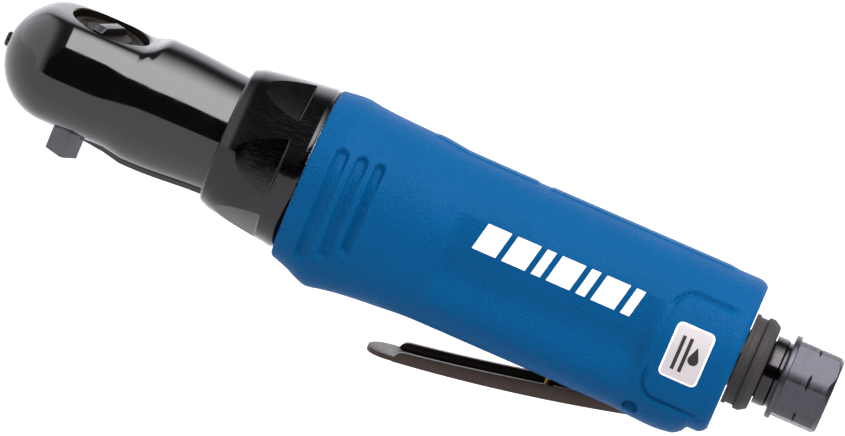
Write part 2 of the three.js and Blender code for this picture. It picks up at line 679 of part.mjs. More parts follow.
// ---- Air inlet and exhaust -------------------------------------------------------
function inletBushing() {
  const hexRadius = hexAcrossFlats / Math.sqrt(3);
  const corners = [...Array(6).keys()].map((i) =>
    [hexRadius * Math.cos(i * Math.PI / 3), hexRadius * Math.sin(i * Math.PI / 3)]);
  const hex = common(
    alongX(polygon(corners), hexFrontX - 0.2, inletEndX - hexFrontX + 0.2).rotateX(-radians(hexTurn)),
    turned([[hexFrontX - 1, 0], [hexFrontX - 1, hexCornerRadius], [hexChamferX, hexCornerRadius],
      [inletEndX, 9.1], [inletEndX + 1, 9.1], [inletEndX + 1, 0]], fine),
  );
  const stem = turned([
    [159.2, 0], [159.2, 7.4], [deflectorEndX + gap, 7.4], [deflectorEndX + gap, 8.9], [183, 8.9],
    [183.4, 8.6], [184.1, 8.6], [184.1, 10.5], [184.4, 10.8], [185.4, 10.8], [hexFrontX, 10.6], [hexFrontX, 0],
  ], medium);
  return cut(
    joined(stem, hex),
    turned([
      [158, 0], [158, 4.4], [183.2, 4.4], [183.2, 5.7], [196.4, 5.7], [inletEndX + 1, 6.6], [inletEndX + 1, 0],
    ], medium),
  );
}
part('inlet_bushing', inletBushing(), greySteel);
part('inlet_seal', turned(ringProfile(157.4, 158.9, 5.5, 7.4), coarse), rubber);
part('inlet_screen', turned([
  [172, 0], [172, 3.9], [183.5, 3.9], [183.5, 5.4], [184.1, 5.4], [184.1, 3.3], [172.6, 3.3], [172.6, 0],
], coarse), brass);

function exhaustDeflector() {
  const body = turned([
    [gripEndX + gap, 10.4], [gripEndX + gap, 11.75], [174, 11.75], [174.2, 11.3], [176.1, 11.3],
    [176.4, 12], [177.9, 12], [deflectorEndX - 0.2, 11], [deflectorEndX, 10.7], [deflectorEndX, 7.8],
    [177.8, 7.8], [177.8, 10.4],
    [gripEndX + gap, 10.4],
  ], fine);
  return cut(body, block(174.4, 177.2, 6, 14, -6, 6));
}
part('exhaust_deflector', exhaustDeflector(), deflectorPlastic);
part('exhaust_silencer', turned(ringProfile(173.5, 177.4, 8, 10.1), medium), felt);

export default tool;
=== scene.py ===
import json
import math

import bmesh
import bpy
import numpy as np
from mathutils import Matrix, Vector


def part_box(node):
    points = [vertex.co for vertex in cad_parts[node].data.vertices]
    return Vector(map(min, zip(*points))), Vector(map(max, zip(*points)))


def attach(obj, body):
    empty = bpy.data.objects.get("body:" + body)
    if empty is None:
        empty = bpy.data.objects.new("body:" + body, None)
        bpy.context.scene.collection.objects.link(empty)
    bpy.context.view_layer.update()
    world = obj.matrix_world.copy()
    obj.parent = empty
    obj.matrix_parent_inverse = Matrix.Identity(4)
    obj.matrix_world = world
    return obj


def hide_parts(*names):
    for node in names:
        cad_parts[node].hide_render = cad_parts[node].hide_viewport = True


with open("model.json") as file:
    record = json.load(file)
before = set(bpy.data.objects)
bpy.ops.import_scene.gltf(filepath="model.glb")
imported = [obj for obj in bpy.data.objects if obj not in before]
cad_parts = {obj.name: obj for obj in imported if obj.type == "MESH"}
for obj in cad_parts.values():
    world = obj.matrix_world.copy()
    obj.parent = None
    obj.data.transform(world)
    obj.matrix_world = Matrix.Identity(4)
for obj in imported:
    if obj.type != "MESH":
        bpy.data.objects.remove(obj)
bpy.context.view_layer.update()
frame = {"record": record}

# Lengths are millimetres with z = 0 on the tool's axis, until a mesh is finished:
# +X runs from the head to the air inlet, +Z towards the reversing knob.
MM = 0.001
joint_places = {j["name"]: j.get("pos_m") for j in frame["record"]["behaviour"]["joints"]}
axis_height = joint_places["crank_spin"][2] / MM


def span(node):
    low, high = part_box(node)
    shift = Vector((0, 0, axis_height))
    return Vector(low) / MM - shift, Vector(high) / MM - shift


# ---- Camera ------------------------------------------------------------------
tilt_down = math.radians(15.7)       # the camera looks down on the knob side
swing = math.radians(2.5)            # and stands a little towards the air inlet
roll = math.radians(22.9)
camera_distance = 1.95
frame_width = 0.207                  # width of the view at the tool
target = Vector((0.0884, 0, 0.0216))


def add_camera():
    right = Vector((math.cos(swing), math.sin(swing), 0))
    back = Vector((math.sin(swing) * math.cos(tilt_down), -math.cos(swing) * math.cos(tilt_down),
                   math.sin(tilt_down)))
    up = back.cross(right)
    turned_right = right * math.cos(roll) + up * math.sin(roll)
    turned_up = up * math.cos(roll) - right * math.sin(roll)
    turn = Matrix((turned_right, turned_up, back)).transposed().to_4x4()
    data = bpy.data.cameras.new("camera")
    data.sensor_width = 36
    data.lens = data.sensor_width * camera_distance / frame_width
    camera = bpy.data.objects.new("camera", data)
    camera.matrix_world = Matrix.Translation(target + back * camera_distance) @ turn
    bpy.context.scene.collection.objects.link(camera)
    bpy.context.scene.camera = camera


add_camera()


# ---- Materials ---------------------------------------------------------------
def colour(text):
    """sRGB hex to linear RGBA."""
    parts = [int(text[i:i + 2], 16) / 255 for i in (1, 3, 5)]
    return [c / 12.92 if c <= 0.04045 else ((c + 0.055) / 1.055) ** 2.4 for c in parts] + [1]


def add(tree, kind, inputs=None, **settings):
    """Add a node with its settings; an input is a value or another node's output."""
    node = tree.nodes.new(kind)
    for name, value in settings.items():
        setattr(node, name, value)
    for name, value in (inputs or {}).items():
        if isinstance(value, bpy.types.NodeSocket):
            tree.links.new(value, node.inputs[name])
        else:
            node.inputs[name].default_value = value
    return node


def ramp(tree, value, low, high, start=0.0, end=1.0):
    """Map value from start..end to low..high, smoothly."""
    return add(tree, "ShaderNodeMapRange", {"Value": value, "From Min": start, "From Max": end,
                                            "To Min": low, "To Max": high},
               interpolation_type="SMOOTHSTEP").outputs["Result"]


def material(name, **surface):
    """A material whose Principled shader takes the given constant inputs."""
    made = bpy.data.materials.new(name)
    made.use_nodes = True
    tree = made.node_tree
    shader = tree.nodes["Principled BSDF"]
    for key, value in surface.items():
        shader.inputs[key.replace("_", " ")].default_value = value
    return made, tree, shader


def object_place(tree, scale=(1, 1, 1), turn=(0, 0, 0)):
    """Object coordinates in millimetres, stretched by scale."""
    place = add(tree, "ShaderNodeTexCoord").outputs["Object"]
    return add(tree, "ShaderNodeMapping", {
        "Vector": place, "Rotation": turn, "Scale": [s / MM for s in scale]}).outputs["Vector"]


def bump(tree, shader, height, depth, strength=1.0):
    """Relief of the given depth in millimetres on the shader's normal."""
    relief = add(tree, "ShaderNodeBump", {"Height": height, "Distance": depth * MM, "Strength": strength})
    tree.links.new(relief.outputs["Normal"], shader.inputs["Normal"])


def noise(tree, place, scale, detail=2.0, roughness=0.5):
    return add(tree, "ShaderNodeTexNoise", {"Vector": place, "Scale": scale, "Detail": detail,
                                            "Roughness": roughness}).outputs["Fac"]


def mix_colour(tree, factor, first, second):
    node = add(tree, "ShaderNodeMix", {"Factor": factor}, data_type="RGBA")
    for socket, value in (("A", first), ("B", second)):
        target_socket = [s for s in node.inputs if s.name == socket and s.type == "RGBA"][0]
        if isinstance(value, bpy.types.NodeSocket):
            tree.links.new(value, target_socket)
        else:
            target_socket.default_value = value
    return [s for s in node.outputs if s.type == "RGBA"][0]


def black_lacquer():
    # Stoved black enamel over the forged head: a deep, wet gloss that mirrors the
    # lights with sharp edges, with a faint orange peel and dust-fine haze.
    made, tree, shader = material("black_stoving_enamel", IOR=1.56)
    place = object_place(tree)
    tone = noise(tree, place, 0.06)
    haze = noise(tree, place, 0.3, 3)
    tree.links.new(mix_colour(tree, tone, colour("#040404"), colour("#080708")), shader.inputs["Base Color"])
    tree.links.new(ramp(tree, haze, 0.05, 0.11, 0.35, 0.75), shader.inputs["Roughness"])
    bump(tree, shader, noise(tree, place, 0.45), 0.003)
    return made


def oxide_steel(name, low, high, roughness, grain):
    # Blackened machined steel: dark, semi-gloss, with fine cutting lines that
    # stretch the highlights and slightly worn, greyer high spots.
    made, tree, shader = material(name, Metallic=1.0)
    lines = noise(tree, object_place(tree, grain), 1.0, 3)
    cloud = noise(tree, object_place(tree), 0.12, 3)
    tree.links.new(mix_colour(tree, cloud, colour(low), colour(high)), shader.inputs["Base Color"])
    tree.links.new(ramp(tree, lines, roughness[0], roughness[1], 0.3, 0.7), shader.inputs["Roughness"])
    bump(tree, shader, lines, 0.004)
    return made


def bright_steel(name, tone, shade, roughness, grain):
    # Bare machined steel: a metal grey with turning marks and a thin film of oil.
    made, tree, shader = material(name, Metallic=1.0)
    lines = noise(tree, object_place(tree, grain), 1.0, 4)
    tree.links.new(mix_colour(tree, lines, colour(shade), colour(tone)), shader.inputs["Base Color"])
    tree.links.new(ramp(tree, lines, roughness[0], roughness[1], 0.3, 0.7), shader.inputs["Roughness"])
    bump(tree, shader, lines, 0.02)
    return made


def blue_nylon():
    # Glass-filled nylon moulded in a leather-grained tool: a saturated satin blue
    # whose shallow cells catch small broken highlights.
    made, tree, shader = material("grained_blue_nylon", Roughness=0.5, IOR=1.5, Specular_IOR_Level=0.05)
    place = object_place(tree)
    grain_size = 0.95                # mm across a cell, drawn coarse enough to show
    bend = add(tree, "ShaderNodeTexNoise", {"Vector": place, "Scale": 0.8, "Detail": 2.0}).outputs["Color"]
    bent = add(tree, "ShaderNodeVectorMath", {0: place, 1: bend}, operation="ADD").outputs["Vector"]
    cells = add(tree, "ShaderNodeTexVoronoi", {"Vector": bent, "Scale": 1 / grain_size},
                feature="DISTANCE_TO_EDGE").outputs["Distance"]
    skin = ramp(tree, cells, 0, 1, 0.0, 0.35)
    fine = noise(tree, place, 3.2, 2)
    relief = add(tree, "ShaderNodeMath", {0: fine, 1: 0.35, 2: skin}, operation="MULTIPLY_ADD").outputs[0]
    cloud = noise(tree, place, 0.05, 2)
    tone = mix_colour(tree, cloud, colour("#00436E"), colour("#004A7A"))
    tree.links.new(tone, shader.inputs["Base Color"])
    tree.links.new(ramp(tree, fine, 0.42, 0.56, 0.3, 0.7), shader.inputs["Roughness"])
    bump(tree, shader, relief, 0.085)
    return made


def satin_plastic(name, low, high, roughness=0.5):
    # Moulded part from a finely sparked tool: even, low sheen.
    made, tree, shader = material(name, Roughness=roughness, IOR=1.5)
    place = object_place(tree)
    tree.links.new(mix_colour(tree, noise(tree, place, 0.3, 3), colour(low), colour(high)),
                   shader.inputs["Base Color"])
    bump(tree, shader, noise(tree, place, 4.0, 2), 0.02)
    return made


def cast_brass():
    # Turned free-cutting brass, yellow and lightly tarnished.
    return bright_steel("turned_brass", "#D8B25E", "#B98C3C", (0.22, 0.4), (3, 3, 3))


def pad_print():
    # One coat of white epoxy ink: opaque, slightly rough, following the grain below.
    made, tree, shader = material("white_pad_print_ink", Roughness=0.55, IOR=1.5)
    place = object_place(tree)
    tree.links.new(mix_colour(tree, noise(tree, place, 0.9, 3), colour("#F6F8F9"), colour("#FFFFFF")),
                   shader.inputs["Base Color"])
    bump(tree, shader, noise(tree, place, 2.0, 2), 0.02)
    return made


def label_film():
    # Silver polyester label film: pale, faintly pink grey with a soft brushed sheen.
    made, tree, shader = material("silver_label_film", Roughness=0.45, IOR=1.5)
    place = object_place(tree, (0.2, 1, 3))
    tree.links.new(mix_colour(tree, noise(tree, place, 1.0, 3), colour("#B0A8A9"), colour("#BBB4B5")),
                   shader.inputs["Base Color"])
    bump(tree, shader, noise(tree, place, 1.5, 2), 0.01)
    return made


enamel = black_lacquer()
well_steel = oxide_steel("bare_forging", "#1E1915", "#2A231D", (0.5, 0.7), (3, 3, 3))
black_steel = oxide_steel("black_oxide_steel", "#302E2F", "#3C3A3B", (0.1, 0.2), (0.4, 2, 2))
drive_steel = oxide_steel("phosphated_steel", "#4A484B", "#5C5A5E", (0.28, 0.42), (3, 3, 0.5))
lever_steel = oxide_steel("blackened_sheet_steel", "#3A322E", "#463D39", (0.34, 0.5), (0.3, 5, 5))
ground_steel = bright_steel("ground_steel", "#C4C5C9", "#A2A3A8", (0.18, 0.34), (3, 3, 3))
turned_steel = bright_steel("black_nickel_steel", "#55555A", "#3E3D42", (0.28, 0.44), (4, 0.15, 0.15))
blue_grip = blue_nylon()
brass = cast_brass()
deflector_nylon = satin_plastic("brown_black_nylon", "#1E1917", "#26201D", 0.7)
valve_acetal = satin_plastic("acetal", "#E6E6E2", "#F4F4F0", 0.4)
nitrile = satin_plastic("nitrile_rubber", "#121212", "#1C1C1C", 0.75)
laminate = satin_plastic("cloth_laminate", "#5C3D20", "#7A5430", 0.6)
silencer_felt = satin_plastic("pressed_felt", "#A7A298", "#C4BFB4", 0.95)
cast_aluminium = bright_steel("turned_aluminium", "#C8CACD", "#A9ABAE", (0.28, 0.45), (5, 0.2, 0.2))
ink = pad_print()
film = label_film()

slot_materials = {
    "gloss_black": enamel,
    "black_steel": black_steel,
    "dark_steel": drive_steel,
    "bright_steel": ground_steel,
    "grey_steel": turned_steel,
    "blue_composite": blue_grip,
    "aluminium": cast_aluminium,
    "brass": brass,
    "rubber": nitrile,
    "phenolic": laminate,
    "felt": silencer_felt,
    "deflector_plastic": deflector_nylon,
    "label_foil": film,
    "valve_plastic": valve_acetal,
}


def finish_cad_nodes():
    for entry in frame["record"]["subparts"]:
        kept = bpy.data.objects.get(entry["node"])
        if kept is not None and kept.material_slots:
            kept.material_slots[0].material = slot_materials[entry["material_slot"]]


# ---- Mesh making -------------------------------------------------------------
def monotone(stations):
    """A smooth curve through [x, value] stations that never overshoots them."""
    xs = np.array([s[0] for s in stations], float)
    ys = np.array([s[1] for s in stations], float)
    slopes = np.diff(ys) / np.diff(xs)
    tangents = np.zeros(len(xs))
    for i in range(1, len(xs) - 1):
        if slopes[i - 1] * slopes[i] > 0:
            tangents[i] = 2 * slopes[i - 1] * slopes[i] / (slopes[i - 1] + slopes[i])
    tangents[0], tangents[-1] = slopes[0], slopes[-1]

    def value(x):
        x = np.clip(x, xs[0], xs[-1])
        i = np.clip(np.searchsorted(xs, x) - 1, 0, len(xs) - 2)
        width = xs[i + 1] - xs[i]
        t = (x - xs[i]) / width
        return (ys[i] * (1 + 2 * t) * (1 - t) ** 2 + width * tangents[i] * t * (1 - t) ** 2
                + ys[i + 1] * t * t * (3 - 2 * t) + width * tangents[i + 1] * t * t * (t - 1))

    return value


def smooth_step(value, low, high):
    t = np.clip((value - low) / (high - low), 0, 1)
    return t * t * (3 - 2 * t)


def grid_mesh(rows, closed_ends=True, loop_rows=False):
    """Quads over rings of points; rows is an array [row, column, xyz] with closed rings."""
    count, around = rows.shape[:2]
    mesh = bmesh.new()
    verts = [[mesh.verts.new(p) for p in row] for row in rows]
    last = count if loop_rows else count - 1
    for i in range(last):
        upper, lower = verts[i], verts[(i + 1) % count]
        for j in range(around):
            k = (j + 1) % around
            mesh.faces.new((upper[j], upper[k], lower[k], lower[j]))
    if closed_ends and not loop_rows:
        mesh.faces.new(verts[0])
        mesh.faces.new(verts[-1])
    return mesh


def turned(profile, sides=96, loop=False):
    """A body turned about the tool axis from [x, radius] points."""
    angles = np.linspace(0, 2 * math.pi, sides, endpoint=False)
    rows = [[(x, r * math.sin(a), r * math.cos(a)) for a in angles] for x, r in profile if r > 0 or loop]
    return grid_mesh(np.array(rows), not loop, loop)


def rod_profile(start, end, radius):
    """The [x, radius] points of a plain solid rod."""
    return [[start, 0.01], [start, radius], [end, radius], [end, 0.01]]


def stood_up(mesh, x=0.0):
    """Turn a body made about the tool axis so that it stands upright at x."""
    for vert in mesh.verts:
        vert.co = Vector((x + vert.co.y, vert.co.z, vert.co.x))
    return mesh


def rotated(mesh, angle, axis):
    bmesh.ops.transform(mesh, matrix=Matrix.Rotation(angle, 4, axis), verts=mesh.verts)
    return mesh


def rounded(points, radius=0.4, steps=4):
    """An open profile with its inner corners rounded off."""
    out = [points[0]]
    for before, corner, after in zip(points, points[1:], points[2:]):
        a, b, c = Vector(before), Vector(corner), Vector(after)
        reach = min(radius, (a - b).length * 0.45, (c - b).length * 0.45)
        start = b + (a - b).normalized() * reach
        end = b + (c - b).normalized() * reach
        for i in range(steps + 1):
            t = i / steps
            out.append(tuple(start * (1 - t) ** 2 + b * 2 * t * (1 - t) + end * t * t))
    out.append(points[-1])
    return out


def rounded_loop(points, radius=0.3, steps=4):
    """A closed profile with all corners rounded off."""
    wrapped = [points[-1], *points, points[0]]
    return rounded(wrapped, radius, steps)[1:-1]


def extruded(outline, low, high, place):
    """A prism of the outline; place(u, v, w) gives each point, w from low to high."""
    mesh = bmesh.new()
    ends = [[mesh.verts.new(place(u, v, w)) for u, v in outline] for w in (low, high)]
    mesh.faces.new(ends[0])
    mesh.faces.new(ends[1])
    for i in range(len(outline)):
        k = (i + 1) % len(outline)
        mesh.faces.new((ends[0][i], ends[0][k], ends[1][k], ends[1][i]))
    return mesh


def along_x(u, v, w):
    return w, u, v


def across_y(u, v, w):
    return u, w, v


def up_z(u, v, w):
    return u, v, w


def block(low, high):
    (x0, y0, z0), (x1, y1, z1) = low, high
    return extruded([(x0, y0), (x1, y0), (x1, y1), (x0, y1)], z0, z1, up_z)


def arc(centre, radius, start, end, steps=8):
    return [(centre[0] + radius * math.cos(math.radians(start + (end - start) * i / steps)),
             centre[1] + radius * math.sin(math.radians(start + (end - start) * i / steps)))
            for i in range(steps + 1)]


def cylinder(radius, low, high, place, centre=(0, 0), sides=64):
    ring = [(centre[0] + radius * math.cos(2 * math.pi * i / sides),
             centre[1] + radius * math.sin(2 * math.pi * i / sides)) for i in range(sides)]
    return extruded(ring, low, high, place)


def to_object(mesh, name):
    """A scene object from a millimetre bmesh, with its normals made outward."""
    bmesh.ops.remove_doubles(mesh, verts=mesh.verts, dist=1e-5)
    bmesh.ops.recalc_face_normals(mesh, faces=mesh.faces)
    for vert in mesh.verts:
        vert.co = Vector((vert.co.x, vert.co.y, vert.co.z + axis_height)) * MM
    data = bpy.data.meshes.new(name)
    mesh.to_mesh(data)
    mesh.free()
    made = bpy.data.objects.new(name, data)
    bpy.context.scene.collection.objects.link(made)
    return made


def apply_modifiers(piece):
    graph = bpy.context.evaluated_depsgraph_get()
    data = bpy.data.meshes.new_from_object(piece.evaluated_get(graph))
    piece.modifiers.clear()
    piece.data = data


def combine_object(piece, other, operation):
    modifier = piece.modifiers.new(operation, "BOOLEAN")
    modifier.operation = operation
    modifier.solver = "EXACT"
    modifier.object = other
    apply_modifiers(piece)
    bpy.data.objects.remove(other)


def combine(piece, tools, operation):
    """Cut the tools from the piece, or join them to it."""
    for tool in tools:
        combine_object(piece, to_object(tool, "tool"), operation)


def soften(piece, width, segments=2, angle=40):
    """Round the sharp edges of the piece."""
    modifier = piece.modifiers.new("soften", "BEVEL")
    modifier.width = width * MM
    modifier.segments = segments
    modifier.limit_method = "ANGLE"
    modifier.angle_limit = math.radians(angle)
    modifier.harden_normals = False
    modifier.use_clamp_overlap = True
    apply_modifiers(piece)


def shade(piece, finish, sharp=35):
    data = piece.data
    data.materials.clear()
    data.materials.append(finish)
    data.polygons.foreach_set("use_smooth", [True] * len(data.polygons))
    data.set_sharp_from_angle(angle=math.radians(sharp))


def superellipse(side, up, wide, high, power):
    return (np.abs(side / wide) ** power + np.abs(up / high) ** power) ** (-1 / power)


# ---- Ratchet housing: forged and enamelled head and neck ---------------------
housing_box = span("ratchet_housing")
nut_box = span("clamp_nut")
grip_box = span("grip")
head_radius = 15.0
nose_tip = housing_box[0].x
nose_centre = nose_tip + head_radius
head_top = 13.3
opening_radius = 10.05
well_floor = 8.7
head_taper = 0.006                   # narrowing of the head per millimetre upwards
neck_end = nut_box[0].x + 6
neck_radius = monotone([[nose_centre, 15], [6.5, 14.98], [9, 15.05], [12, 15.6], [15.2, 16.2], [18, 16.2],
                        [36, 15.1], [neck_end, 15.0]])
fullness_at = monotone([[nose_tip, 0], [-17, 0.5], [-8, 1], [2, 1], [10, 0.45], [17, 0], [neck_end, 0]])
half_width_at = monotone([[nose_centre, 16.6], [4, 16.6], [15, 16.3], [36, 15.1], [neck_end, 15]])
top_limit = monotone([[nose_tip, head_top], [9.6, head_top + 0.02], [12, 14.2], [15, 16.8], [18, 19.5],
                      [neck_end, 24]])


def soft_minimum(a, b, blend):
    h = np.clip(0.5 + 0.5 * (b - a) / blend, 0, 1)
    return b * (1 - h) + a * h - blend * h * (1 - h)


def housing_radius(x, side, up):
    nose = np.sqrt(np.maximum(0, 1 - (np.minimum(0, x - nose_centre) / head_radius) ** 2))
    full = fullness_at(x)
    power = 2 + 0.8 * full * smooth_step(up, 0, 0.3)
    wide, high = nose * half_width_at(x), nose * neck_radius(x)
    skin = superellipse(side, up, wide, high, power)
    for _ in range(3):
        skin = superellipse(side, up, wide * (1 - head_taper * full * skin * up), high, power)
    limit = top_limit(x) / np.maximum(up, 0.05)
    return np.where(up > 0.05, soft_minimum(skin, limit, 1.8), skin)


def neck_ledge():
    """The forging's thin parting ledge along the underside of the neck."""
    outline = [(-5.2, -1.5), (5.2, -1.5), (5.2, -0.25), (4.4, 0), (-4.4, 0), (-5.2, -0.25)]
    start, proud = 3.5, 0.45
    rows = []
    for x in np.linspace(start, neck_end - 0.6, 50):
        rise = float(smooth_step(x, start, 9) * (1 - smooth_step(x, 38, neck_end - 1)))
        reach = float(neck_radius(x)) + proud * rise
        rows.append([(x, u, -reach - v) for u, v in outline])
    return grid_mesh(np.array(rows))


def ratchet_housing():
    hump_end = 20
    nose = nose_centre - head_radius * np.cos(np.linspace(0.02, math.pi / 2, 46)[:-1])
    head = np.linspace(nose_centre, hump_end, 150)[:-1]
    xs = np.concatenate([nose, head, np.linspace(hump_end, neck_end, 30)])
    angles = np.linspace(0, 2 * math.pi, 220, endpoint=False)
    x, angle = np.meshgrid(xs, angles, indexing="ij")
    side, up = np.sin(angle), np.cos(angle)
    radius = housing_radius(x, side, up)
    skin = grid_mesh(np.stack([x, radius * side, radius * up], axis=-1))
    piece = to_object(skin, "ratchet_housing_shell")
    edge = 0.55                      # radius of the opening's rim
    bearing_radius = 7.2             # the square drive's lower bearing
    flange_radius = 16.8             # the rear flange, held inside the clamp nut
    rim = arc((head_top - edge, opening_radius + edge), edge, -90, 0, 12)
    well = stood_up(turned([[well_floor, 0.01], [well_floor, opening_radius], *rim,
                            [head_top + 6, opening_radius + 0.6], [head_top + 6, 0.01]], 160))
    lower = stood_up(turned(rod_profile(-18, -11, bearing_radius), 64))
    flange = turned(rounded(rod_profile(neck_end - 0.4, housing_box[1].x, flange_radius), 0.3), 96)
    nose_seat = turned(rod_profile(nose_tip - 2, nose_tip + 3.5, 2.15), 48)
    combine(piece, [well, lower, nose_seat], "DIFFERENCE")
    combine(piece, [flange, neck_ledge()], "UNION")
    shade(piece, enamel, 12)
    piece.data.materials.append(well_steel)
    for face in piece.data.polygons:
        x, y, z = face.center / MM
        height = z - axis_height
        inside = math.hypot(x, y) < opening_radius + 0.08 and -5 < height < head_top - 0.3
        face.material_index = int(inside and (abs(face.normal.z) < 0.9 or height < 9))
    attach(piece, "housing")
    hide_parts("ratchet_housing")


def nose_plug():
    low, high = span("nose_plug")
    piece = to_object(turned(rounded([[low.x, 0.01], [low.x, 1.7], [low.x + 0.6, 2.0], [high.x, 2.0],
                                      [high.x, 0.01]], 0.2), 48), "nose_plug_body")
    shade(piece, black_steel)
    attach(piece, "housing")
    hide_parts("nose_plug")


# ---- Square drive and reversing knob -----------------------------------------
drive_turn = math.radians(55)


def anvil():
    low, high = span("anvil")
    half = 6.35 / 2
    corner = 0.62                    # chamfer along the square's edges
    flat = half - corner
    outline = [(half, -flat), (half, flat), (flat, half), (-flat, half),
               (-half, flat), (-half, -flat), (-flat, -half), (flat, -half)]
    drive = rotated(extruded(outline, low.z, -12.0, up_z), drive_turn, "Z")
    piece = to_object(drive, "square_drive")
    hub = turned(rounded([[-13.2, 0.01], [-13.2, 6.9], [-5, 6.9], [-5, 8.2], [5.4, 8.2], [5.4, 9.6],
                          [high.z, 9.6], [high.z, 0.01]], 0.4), 96)
    combine(piece, [stood_up(hub)], "UNION")
    ball_seat = 1.3                  # radius of the cross bore for the retaining ball
    seat = rotated(cylinder(ball_seat, 0.5, 5, across_y, (0, -17.6), 32), drive_turn, "Z")
    pocket = block((1.6, -6.6, -4.2), (10, 6.6, 4.2))
    bore = cylinder(3, -4.2, 9, up_z)
    combine(piece, [seat, pocket, bore], "DIFFERENCE")
    soften(piece, 0.22, 2)
    shade(piece, drive_steel)
    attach(piece, "anvil")
    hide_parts("anvil")


def reverse_knob():
    low, high = span("reverse_knob")
    disc_top = high.z - 1.8
    bar_turn = math.radians(64)
    groove = disc_top - 0.6
    disc = turned(rounded([[low.z, 0.01], [low.z, 2.7], [10.2, 2.7], [10.2, 9.3], [disc_top, 9.3],
                           [disc_top, 7.9], [groove, 7.6], [groove, 6.2], [disc_top, 5.9],
                           [disc_top, 0.01]], 0.25), 96)
    piece = to_object(stood_up(disc), "reverse_knob_disc")
    shade(piece, well_steel)
    half, half_thick = 5.5, 1.4      # the thumb bar
    foot, shoulder = disc_top + 0.02, disc_top + 0.5
    side = rounded_loop([(-half, foot), (half, foot), (half, shoulder), (half - 1.5, high.z),
                         (-half + 1.5, high.z), (-half, shoulder)], 0.35)
    thumb_bar = rotated(extruded(side, -half_thick, half_thick, across_y), bar_turn, "Z")
    bar = to_object(thumb_bar, "reverse_knob_bar")
    soften(bar, 0.25, 2, 50)
    shade(bar, drive_steel)
    for made in (piece, bar):
        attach(made, "knob")
    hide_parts("reverse_knob")


# ---- Clamp nut ---------------------------------------------------------------
def clamp_nut():
    front, rear = nut_box[0].x, nut_box[1].x
    flat_distance = 18.85
    nut_turn = 6.5                   # degrees the flats stand off square
    outer = monotone([[front + 0.5, 17.6], [front + 1.5, 18.0], [front + 2.9, 18.5], [rear - 1, 21.1]])
    skin = [[x, float(outer(x))] for x in np.linspace(front + 0.5, rear - 1.0, 40)]
    profile = [[front, 15.45], [front, 17.1], *skin, [rear, 20.7], [rear, 17.3], [front + 5.8, 17.3],
               [front + 5.8, 15.45]]
    piece = to_object(turned(profile, 192, loop=True), "clamp_nut_body")
    flat_half_width = 12.5
    section = rounded_loop([(front - 1, flat_distance), (rear - 5.6, flat_distance), (rear - 4.4, 24),
                            (front - 1, 24)], 0.4)
    flats = []
    for i in range(6):
        cutter = extruded(section, -flat_half_width, flat_half_width, across_y)
        flats.append(rotated(cutter, math.radians(30 - nut_turn + 60 * i), "X"))
    combine(piece, flats, "DIFFERENCE")
    soften(piece, 0.18, 2, 12)
    shade(piece, black_steel, 30)
    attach(piece, "housing")
    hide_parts("clamp_nut")


# ---- Grip --------------------------------------------------------------------
grip_front, grip_rear = grip_box[0].x, grip_box[1].x
top_line = monotone([[grip_front, 21.2], [64.8, 21.9], [68.7, 21.4], [74.6, 21.0], [86, 20.6], [94, 19.85],
                     [110, 19.8], [170.2, 19.8], [171.8, 19.4], [grip_rear, 18.5]])
bottom_line = monotone([[grip_front, 21.6], [62.8, 23.1], [66.4, 24.8], [68.7, 25.5], [72.6, 24.8],
                        [76.6, 24.1], [84.4, 23.3], [98, 22.5], [148, 22.5], [155, 23.0], [160, 23.2],
                        [165, 22.6], [167.3, 21.0], [168.2, 19.5], [170.6, 19.5], [171.9, 19.0],
                        [grip_rear, 18]])


def grip_radius(x, side, up):
    top = top_line(x)
    lower = superellipse(side, np.minimum(up, -1e-6), top, bottom_line(x), 3.0)
    return np.where(up >= 0, top, lower)


def capsule_distance(x, z, x0, low, high, width, lean=0.0):
    """Distance outside a round-ended upright slot at x0 leaning by lean per millimetre."""
    half = width / 2
    zc = np.clip(z, low + half, high - half)
    return np.hypot(x - (x0 + lean * (zc - high)), z - zc) - half


def rounded_box_distance(x, z, x0, x1, low, high, corner):
    cx, cz = (x0 + x1) / 2, (low + high) / 2
    dx = np.abs(x - cx) - (x1 - x0) / 2 + corner
    dz = np.abs(z - cz) - (high - low) / 2 + corner
    return np.hypot(np.maximum(dx, 0), np.maximum(dz, 0)) + np.minimum(np.maximum(dx, dz), 0) - corner


finger_slots = [(65.3, -16.5, 3.3), (70.4, -14.0, 2.9), (75.0, -10.8, 2.5)]
slot_top = 13.2
slot_depth = 1.3
pad_groove_depth = 0.9
seam_height = 0.28


def print_panel(x, side, up, radius, z):
    """Depth of the flatter panel on each side, an arc of large radius about (panel_y, panel_z)."""
    panel_radius, panel_y, panel_z = 35.6, 17.75, -2.0
    across = np.abs(side) * -panel_y - up * panel_z
    inside = np.maximum(across ** 2 + panel_radius ** 2 - panel_y ** 2 - panel_z ** 2, 0)
    sunk = np.maximum(radius - (across + np.sqrt(inside)), 0)
    window = smooth_step(x, 95.5, 99) * (1 - smooth_step(x, 149, 152.5))
    fade = smooth_step(z, -15, -5) * (1 - smooth_step(z, 13.7, 14.1)) * (np.abs(side) > 0.3)
    return np.minimum(sunk, 2.2) * window * fade


